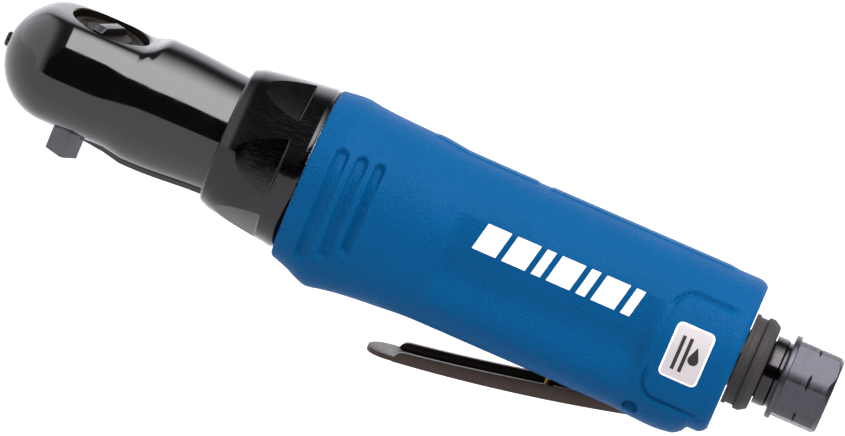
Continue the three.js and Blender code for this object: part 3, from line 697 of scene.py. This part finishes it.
def grip_relief(x, side, up, radius):
    """Depth of the moulded features below the grip's plain skin."""
    z = radius * up
    depth = np.zeros_like(x)
    for centre, low, width in finger_slots:
        distance = capsule_distance(x, z, centre, low, slot_top, width)
        rear_side = smooth_step(x, centre - width * 0.3, centre + width / 2)
        scoop = 1 - 0.6 * rear_side * smooth_step(-z, -12, -6)
        depth = np.maximum(depth, slot_depth * scoop * smooth_step(-distance, -0.25, 0.5))
    pad = rounded_box_distance(x, z, 153.4, 190, -13.4, 14.2, 4.6)
    middle = smooth_step(z, -9, -4) * (1 - smooth_step(z, 9, 12))
    strength = np.maximum(1 - 0.75 * middle - 0.8 * smooth_step(x, 166, 170), 0)
    groove = pad_groove_depth * strength * (1 - smooth_step(np.abs(pad), 0.0, 1.0))
    depth = np.maximum(depth, groove)
    depth = np.maximum(depth, print_panel(x, side, up, radius, z))
    along_seam = smooth_step(x, 83, 85) * (1 - smooth_step(x, 162, 165))
    seam = smooth_step(side, 0.0, 0.012) * (up > 0) * along_seam
    notch = smooth_step(x, 111, 111.4) * (1 - smooth_step(x, 114.6, 115))
    return depth - seam_height * seam * (1 - notch)


def grip():
    rows = np.concatenate([np.arange(grip_front + 0.3, 79, 0.36), np.arange(79, 152, 0.62),
                           np.arange(152, grip_rear - 0.2, 0.42)])
    rows = np.concatenate([[grip_front, grip_front + 0.12], rows, [grip_rear - 0.1, grip_rear]])
    angles = np.linspace(0, 2 * math.pi, 340, endpoint=False)
    x, angle = np.meshgrid(rows, angles, indexing="ij")
    side, up = np.sin(angle), np.cos(angle)
    radius = grip_radius(x, side, up)
    edge = 0.35 * (1 - smooth_step(x, grip_front, grip_front + 0.4))
    radius = radius - grip_relief(x, side, up, radius) - edge
    outer = np.stack([x, radius * side, radius * up], axis=-1)
    bore = 17.3
    inner = np.array([[(end, bore * math.sin(a), bore * math.cos(a)) for a in angles]
                      for end in (grip_rear, grip_front)])
    piece = to_object(grid_mesh(np.concatenate([outer, inner]), loop_rows=True), "grip_body")
    pivot_x, _, pivot_z = [c / MM for c in joint_places["lever_press"]]
    pivot_z -= axis_height
    dimple_radius = 2.05             # recess round each end of the lever's pin
    dimples = [cylinder(dimple_radius, low, high, across_y, (pivot_x, pivot_z), 48)
               for low, high in ((-30, -14.3), (14.3, 30))]
    slot_start, slot_end, slot_half = 124, 157.5, 6.2
    slot_outline = rounded_loop([(slot_start, -slot_half), (slot_end, -slot_half), (slot_end, slot_half),
                                 (slot_start, slot_half)], 1.2)
    lever_slot = extruded(slot_outline, -28, -12, up_z)
    combine(piece, [lever_slot, *dimples], "DIFFERENCE")
    shade(piece, blue_grip, 38)
    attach(piece, "housing")
    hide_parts("grip")


def on_side(x, z, lift):
    """The point of the grip's near side at (x, z), raised by lift from its skin."""
    angle = np.radians(np.linspace(20, 160, 2801))
    radius = grip_radius(np.full_like(angle, x), -np.sin(angle), np.cos(angle))
    radius = radius - grip_relief(np.full_like(angle, x), -np.sin(angle), np.cos(angle), radius)
    heights = radius * np.cos(angle)
    i = int(np.argmin(np.abs(heights - z)))
    r = radius[i] + lift
    return (x, -r * math.sin(angle[i]), r * math.cos(angle[i]))


def side_patch(outline, lift, thickness, name, step=0.6):
    """A thin sheet of the given outline in (x, z), laid on the grip's near side."""
    mesh = bmesh.new()
    verts = [mesh.verts.new((u, 0, v)) for u, v in outline]
    mesh.faces.new(verts)
    low_u, high_u = min(u for u, _ in outline), max(u for u, _ in outline)
    low_v, high_v = min(v for _, v in outline), max(v for _, v in outline)
    for normal, start, end, axis in (((1, 0, 0), low_u, high_u, 0), ((0, 0, 1), low_v, high_v, 2)):
        count = max(1, int((end - start) / step))
        for i in range(1, count):
            at = [0, 0, 0]
            at[axis] = start + (end - start) * i / count
            bmesh.ops.bisect_plane(mesh, geom=mesh.verts[:] + mesh.edges[:] + mesh.faces[:], plane_co=at,
                                   plane_no=normal)
    bmesh.ops.triangulate(mesh, faces=mesh.faces)
    copy = bmesh.ops.extrude_face_region(mesh, geom=mesh.faces[:])
    raised = {v for v in copy["geom"] if isinstance(v, bmesh.types.BMVert)}
    for vert in mesh.verts:
        vert.co = Vector(on_side(vert.co.x, vert.co.z, lift + (thickness if vert in raised else 0)))
    return to_object(mesh, name)


# ---- Generic white print and the label ---------------------------------------
def print_block():
    """A row of slanted white bars, in place of any lettering."""
    low_z, high_z = 3.4, 10.4
    lean = 0.22
    shapes = []
    x = 103.0
    for width, pause in ((6.2, 1.6), (6.2, 1.6), (2.4, 1.6), (6.2, 1.6), (2.4, 1.6), (6.2, 1.6), (2.4, 0)):
        rise = (high_z - low_z) * lean
        shapes.append([(x, low_z), (x + width, low_z), (x + width + rise, high_z), (x + rise, high_z)])
        x += width + pause
    for i, shape in enumerate(shapes):
        bar = side_patch(shape, -0.02, 0.06, f"print_bar_{i + 1}")
        shade(bar, ink, 60)
        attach(bar, "housing")


def oil_label():
    low, high = span("oil_label")
    mid_x, mid_z = (low.x + high.x) / 2, (low.z + high.z) / 2
    wide, tall = (high.x - low.x) / 2, (high.z - low.z) / 2

    def plate(inset, corner):
        w, t = wide - inset, tall - inset
        return (arc((mid_x + w - corner, mid_z + t - corner), corner, 0, 90)
                + arc((mid_x - w + corner, mid_z + t - corner), corner, 90, 180)
                + arc((mid_x - w + corner, mid_z - t + corner), corner, 180, 270)
                + arc((mid_x + w - corner, mid_z - t + corner), corner, 270, 360))

    border = side_patch(plate(0, 1.5), -0.02, 0.14, "oil_label_border")
    shade(border, ink, 60)
    face = side_patch(plate(0.45, 1.15), 0.1, 0.05, "oil_label_face")
    shade(face, film, 60)
    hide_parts("oil_label")
    pieces = [border, face]
    drop_centre = (mid_x + 1.9, mid_z - 0.6)
    drop = arc(drop_centre, 1.35, -200, 20, 14) + [(drop_centre[0], drop_centre[1] + 3.4)]
    marks = [drop]
    for column in (-2.6, -0.7):
        marks.append([(mid_x + column, mid_z - 4.6), (mid_x + column + 0.9, mid_z - 4.6),
                      (mid_x + column + 0.9, mid_z + 4.2), (mid_x + column, mid_z + 4.2)])
    for i, outline in enumerate(marks):
        mark = side_patch(outline, 0.14, 0.03, f"oil_label_mark_{i + 1}")
        shade(mark, nitrile, 60)
        pieces.append(mark)
    for piece in pieces:
        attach(piece, "housing")


# ---- Throttle lever ----------------------------------------------------------
def throttle_lever():
    low, high = span("throttle_lever")
    pivot = [c / MM for c in joint_places["lever_press"]]
    pivot_x, pivot_z = pivot[0], pivot[2] - axis_height
    start = low.x + 5.7

    def underside(x):
        return -35.05 + 0.1286 * (x - start) + 0.00118 * (x - start) ** 2

    wall_line = monotone([[start + 2.6, -31.85], [start + 15, -29.6], [128.4, -25.5], [140, -22.9],
                          [147, -21.2]])
    front = start + 1.4
    lower = [(x, underside(x)) for x in np.linspace(front, pivot_x + 1.5, 40)]
    upper = [(x, float(wall_line(x))) for x in np.linspace(147, front + 2.2, 40)]
    ear = [(pivot_x + 3, -21.5), *arc((pivot_x, pivot_z), 2.9, -10, 120, 10),
           (pivot_x - 4.5, pivot_z - 1.4)]
    top = upper[-1][1]
    nose = [(front + 1.2, top - 0.35), (front + 0.5, top - 1.1), (front + 0.1, top - 2.0)]
    width = (high.y - low.y) / 2
    sheet = 1.2
    channel = extruded(lower + ear + upper + nose, -width, width, across_y)
    piece = to_object(channel, "throttle_lever_channel")
    inside_low = [(x, underside(x) + sheet) for x in np.linspace(start - 6, pivot_x + 5, 44)]
    inside = inside_low + [(pivot_x + 5, -8), (start - 6, -8)]
    hollow = extruded(inside, -width + sheet, width - sheet, across_y)
    combine(piece, [hollow], "DIFFERENCE")
    pin_hole = 1.75
    tab_length = front + 1.2 - low.x
    half = width * 0.93
    reach = half * 1.05
    ellipse = [(low.x + reach - reach * math.sin(math.radians(a)), half * math.cos(math.radians(a)))
               for a in np.linspace(0, 180, 28)]
    outline = [(low.x + tab_length, half)] + ellipse + [(low.x + tab_length, -half)]
    mesh = bmesh.new()
    layers = [[mesh.verts.new((u, v, underside(u) + lift)) for u, v in outline] for lift in (0.0, sheet)]
    mesh.faces.new(layers[0])
    mesh.faces.new(layers[1])
    for i in range(len(outline)):
        k = (i + 1) % len(outline)
        mesh.faces.new((layers[0][i], layers[0][k], layers[1][k], layers[1][i]))
    combine(piece, [mesh], "UNION")
    combine(piece, [cylinder(pin_hole, -10, 10, across_y, (pivot_x, pivot_z), 40)], "DIFFERENCE")
    soften(piece, 0.3, 3, 50)
    shade(piece, lever_steel, 40)
    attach(piece, "lever")
    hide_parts("throttle_lever")


# ---- Air inlet and exhaust deflector -----------------------------------------
thread_root = 6.55


def group_input(tree, name, kind):
    return tree.interface.new_socket(name=name, in_out="INPUT", socket_type=kind).identifier


def thread_tree():
    """Nodes for a helical thread ridge inside a bore along +X."""
    tree = bpy.data.node_groups.new("female_thread", "GeometryNodeTree")
    sockets = {name: group_input(tree, name, kind) for name, kind in (
        ("Start", "NodeSocketVector"), ("Radius", "NodeSocketFloat"), ("Ridge", "NodeSocketFloat"),
        ("Length", "NodeSocketFloat"), ("Turns", "NodeSocketFloat"), ("Finish", "NodeSocketMaterial"))}
    tree.interface.new_socket(name="Geometry", in_out="OUTPUT", socket_type="NodeSocketGeometry")
    given = add(tree, "NodeGroupInput").outputs
    spiral = add(tree, "GeometryNodeCurveSpiral", {
        "Resolution": 48, "Rotations": given["Turns"], "Start Radius": given["Radius"],
        "End Radius": given["Radius"], "Height": given["Length"]}).outputs["Curve"]
    upright = add(tree, "GeometryNodeSetCurveNormal", {"Curve": spiral}, mode="Z_UP").outputs["Curve"]
    ridge = add(tree, "GeometryNodeCurvePrimitiveCircle", {
        "Resolution": 5, "Radius": given["Ridge"]}).outputs["Curve"]
    swept = add(tree, "GeometryNodeCurveToMesh", {
        "Curve": upright, "Profile Curve": ridge, "Fill Caps": True}).outputs["Mesh"]
    placed = add(tree, "GeometryNodeTransform", {
        "Geometry": swept, "Translation": given["Start"],
        "Rotation": (0, math.pi / 2, 0)}).outputs["Geometry"]
    real = add(tree, "GeometryNodeRealizeInstances", {"Geometry": placed}).outputs["Geometry"]
    finished = add(tree, "GeometryNodeSetMaterial", {
        "Geometry": real, "Material": given["Finish"]}).outputs["Geometry"]
    add(tree, "NodeGroupOutput", {"Geometry": finished})
    return tree, sockets


def inlet_thread():
    """The female thread for a 1/4 inch hose fitting, 19 turns to the inch."""
    end = span("inlet_bushing")[1].x
    pitch, length = 25.4 / 19, 11.2
    tree, sockets = thread_tree()
    piece = bpy.data.objects.new("inlet_thread", bpy.data.meshes.new("inlet_thread"))
    bpy.context.scene.collection.objects.link(piece)
    modifier = piece.modifiers.new("thread", "NODES")
    modifier.node_group = tree
    start = end - 0.9 - length
    values = {"Start": (start * MM, 0, axis_height * MM), "Radius": (thread_root - 0.25) * MM,
              "Ridge": 0.5 * MM, "Length": length * MM, "Turns": length / pitch, "Finish": turned_steel}
    for name, value in values.items():
        modifier[sockets[name]] = value
    apply_modifiers(piece)
    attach(piece, "housing")


def inlet_bushing():
    low, high = span("inlet_bushing")
    flange_front = high.x - 13.1
    hex_front = flange_front + 1.5
    neck = rounded([[low.x, 0.01], [low.x, 7.4], [flange_front - 4.1, 7.4], [flange_front - 4.1, 8.9],
                    [flange_front - 1.3, 8.9], [flange_front - 0.9, 8.45], [flange_front, 8.45],
                    [flange_front, 10.55], [flange_front + 0.3, 10.8], [hex_front - 0.2, 10.8],
                    [hex_front, 10.6], [hex_front, 8.5], [hex_front + 0.1, 0.01]], 0.12, 3)
    piece = to_object(turned(neck, 160), "inlet_bushing_body")
    across = 19 / math.sqrt(3)       # centre to corner of a 19 mm hexagon
    hex_turn = 21.6                  # degrees the hexagon stands off square
    turns = [math.radians(60 * i - hex_turn) for i in range(6)]
    corners = [(across * math.cos(turn), across * math.sin(turn)) for turn in turns]
    hexagon = to_object(extruded(corners, hex_front, high.x, along_x), "inlet_hexagon")
    groove = (hex_front + high.x) / 2 - 0.4
    corner = 10.3                    # the corners are turned down to this radius
    envelope = turned([[hex_front - 1, 0.01], [hex_front - 1, corner],
                       [groove - 0.35, corner], [groove, corner - 0.4], [groove + 0.35, corner],
                       [high.x - 1.3, corner], [high.x, 9.2], [high.x + 1, 9.1], [high.x + 1, 0.01]], 160)
    combine(hexagon, [envelope], "INTERSECT")
    combine_object(piece, hexagon, "UNION")
    bore = turned([[high.x + 1, 0.01], [high.x + 1, 7.5], [high.x - 0.6, thread_root],
                   [high.x - 12.6, thread_root], [high.x - 13, 5.6], [high.x - 14, 4.4],
                   [low.x - 1, 4.4], [low.x - 1, 0.01]], 96)
    combine(piece, [bore], "DIFFERENCE")
    soften(piece, 0.1, 2, 16)
    shade(piece, turned_steel, 14)
    piece.data.materials.append(black_steel)
    for face in piece.data.polygons:
        x, y, z = face.center / MM
        outside = math.hypot(y, z - axis_height) > 7
        face.material_index = int(outside and x < flange_front - 0.2)
    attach(piece, "housing")
    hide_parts("inlet_bushing")


def exhaust_deflector():
    low, high = span("exhaust_deflector")
    profile = rounded_loop([[low.x, 10.4], [low.x, 11.75], [low.x + 0.95, 11.75], [low.x + 1.15, 11.3],
                            [low.x + 3.0, 11.3], [low.x + 3.3, 12.0], [low.x + 4.7, 12.0],
                            [high.x - 0.3, 11.0], [high.x, 10.5], [high.x, 7.8], [high.x - 1.9, 7.8],
                            [high.x - 1.9, 10.4]], 0.18, 3)
    piece = to_object(turned(profile, 160, loop=True), "exhaust_deflector_ring")
    outline = rounded_loop([(low.x + 1.1, -6), (low.x + 3.9, -6), (low.x + 3.9, 6), (low.x + 1.1, 6)], 0.5)
    window = extruded(outline, 6, 14, across_y)
    combine(piece, [window], "DIFFERENCE")
    shade(piece, deflector_nylon, 40)
    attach(piece, "housing")
    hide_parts("exhaust_deflector")


# ---- Small visible pieces ----------------------------------------------------
def lever_pin():
    low, high = span("lever_pin")
    centre = ((low.x + high.x) / 2, (low.z + high.z) / 2)
    piece = to_object(cylinder(1.45, low.y, high.y, across_y, centre, 48), "lever_pin_body")
    soften(piece, 0.3, 3, 40)
    shade(piece, well_steel)
    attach(piece, "housing")
    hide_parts("lever_pin")


def valve_stem():
    low, high = span("valve_stem")
    profile = rounded([[low.z, 0.01], [low.z, 0.8], [low.z + 0.7, 1.1], [-7.8, 1.1], [-7.8, 1.9], [-7, 1.9],
                       [-7, 1.1], [high.z, 1.1], [high.z, 0.01]], 0.15)
    mesh = stood_up(turned(profile, 40), (low.x + high.x) / 2)
    piece = to_object(mesh, "valve_stem_body")
    shade(piece, brass)
    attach(piece, "valve")
    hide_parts("valve_stem")


for make in (ratchet_housing, nose_plug, anvil, reverse_knob, clamp_nut, grip, print_block, oil_label,
             throttle_lever, inlet_bushing, inlet_thread, exhaust_deflector, lever_pin, valve_stem):
    make()
finish_cad_nodes()


# ---- Floor and light ---------------------------------------------------------
strip_left, strip_right = -0.12, 0.75  # the strip light's ends, as direction cosines along X
screen_slant = 0.55                  # how far the dark screen's left edge leans out as it goes down
floor_height = -0.12
floor_front = -1.5                   # the board ends here, in metres, short of the dark screen


def studio():
    made, tree, shader = material("matt_white_board", Roughness=0.9)
    place = object_place(tree)
    tree.links.new(mix_colour(tree, noise(tree, place, 0.002), colour("#CACACA"), colour("#CECECE")),
                   shader.inputs["Base Color"])
    mesh = bmesh.new()
    corners = ((-4, floor_front), (4, floor_front), (4, 6), (-4, 6))
    mesh.faces.new([mesh.verts.new((x, y, floor_height)) for x, y in corners])
    data = bpy.data.meshes.new("floor")
    mesh.to_mesh(data)
    mesh.free()
    floor = bpy.data.objects.new("floor", data)
    data.materials.append(made)
    bpy.context.scene.collection.objects.link(floor)

    world = bpy.data.worlds.new("studio")
    world.use_nodes = True
    bpy.context.scene.world = world
    sky = world.node_tree
    direction = add(sky, "ShaderNodeTexCoord").outputs["Generated"]
    parts = add(sky, "ShaderNodeSeparateXYZ", {"Vector": direction})
    east, north, height = parts.outputs["X"], parts.outputs["Y"], parts.outputs["Z"]

    def between(value, low, high, edge):
        rise = ramp(sky, value, 0, 1, low - edge, low + edge)
        fall = ramp(sky, value, 1, 0, high - edge, high + edge)
        return add(sky, "ShaderNodeMath", {0: rise, 1: fall}, operation="MULTIPLY").outputs[0]

    front = ramp(sky, north, 1, 0, -0.12, 0.06)
    overhead = ramp(sky, north, 1, 0, -0.35, 0.5)
    strip = add(sky, "ShaderNodeMath", {0: overhead, 1: between(east, strip_left, strip_right, 0.01)},
                operation="MULTIPLY").outputs[0]
    softbox = add(sky, "ShaderNodeMath", {0: strip, 1: ramp(sky, height, 0, 1, 0.56, 0.6)},
                  operation="MULTIPLY").outputs[0]
    slanted = add(sky, "ShaderNodeMath", {0: height, 1: -screen_slant, 2: east},
                  operation="MULTIPLY_ADD").outputs[0]
    screen = add(sky, "ShaderNodeMath", {0: front, 1: ramp(sky, slanted, 0, 1, -0.47, -0.43)},
                 operation="MULTIPLY").outputs[0]
    flag = add(sky, "ShaderNodeMath", {0: screen, 1: between(height, -0.3, 0.57, 0.02)},
               operation="MULTIPLY").outputs[0]
    left_wall = ramp(sky, east, 1, 0, -0.75, -0.35)
    back_wall = ramp(sky, north, 0, 1, 0.55, 0.85)
    bright = add(sky, "ShaderNodeMath", {0: left_wall, 1: back_wall}, operation="MAXIMUM").outputs[0]
    open_walls = mix_colour(sky, bright, colour("#646469"), colour("#F4F4FA"))
    walls = mix_colour(sky, flag, open_walls, colour("#1C1C1E"))
    room = add(sky, "ShaderNodeBackground", {"Color": walls, "Strength": ramp(sky, bright, 1, 2)})
    lamp = add(sky, "ShaderNodeBackground", {"Color": colour("#FBFBFF"), "Strength": 8.5})
    both = add(sky, "ShaderNodeMixShader", {0: softbox, 1: room.outputs[0], 2: lamp.outputs[0]})
    output = sky.nodes["World Output"] if "World Output" in sky.nodes else add(sky, "ShaderNodeOutputWorld")
    sky.links.new(both.outputs[0], output.inputs["Surface"])
    bpy.context.scene.view_settings.view_transform = "Standard"


studio()
